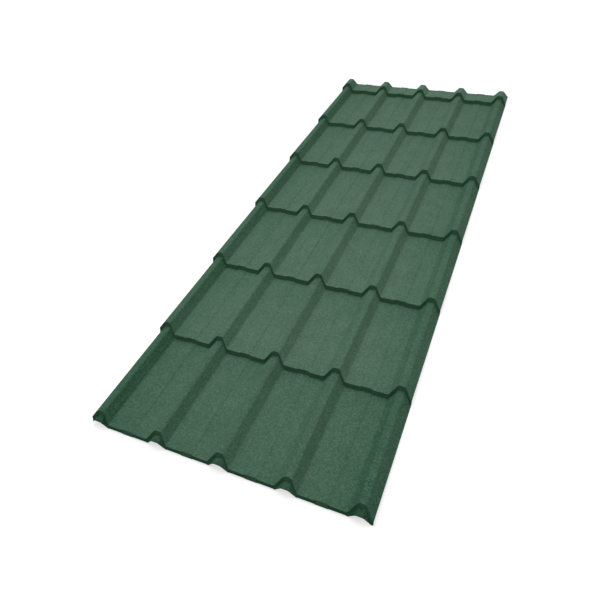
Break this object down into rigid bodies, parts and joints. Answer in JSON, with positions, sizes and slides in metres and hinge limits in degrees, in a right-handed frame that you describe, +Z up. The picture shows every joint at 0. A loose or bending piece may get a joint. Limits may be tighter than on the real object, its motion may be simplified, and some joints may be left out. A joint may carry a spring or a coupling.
{
  "type": "tile effect metal roofing sheet",
  "caption": "Coated metal roofing sheet pressed into stepped rows of tiles, with narrow raised ribs running up the slope and broad shallow pans between them.",
  "frame": {"origin": "middle of the sheet's footprint, on the level that the feet of its steps lie on", "axes": "+X across the sheet; +Y up the slope, towards the ridge; +Z up, away from the roof"},
  "size_m": [0.9062, 2.4174, 0.0443],
  "materials": {
    "coated_steel": "matt, fine-grained textured coating"
  },
  "bodies": {
    "root": {"roofing_sheet": "coated_steel"}
  },
  "joints": []
}
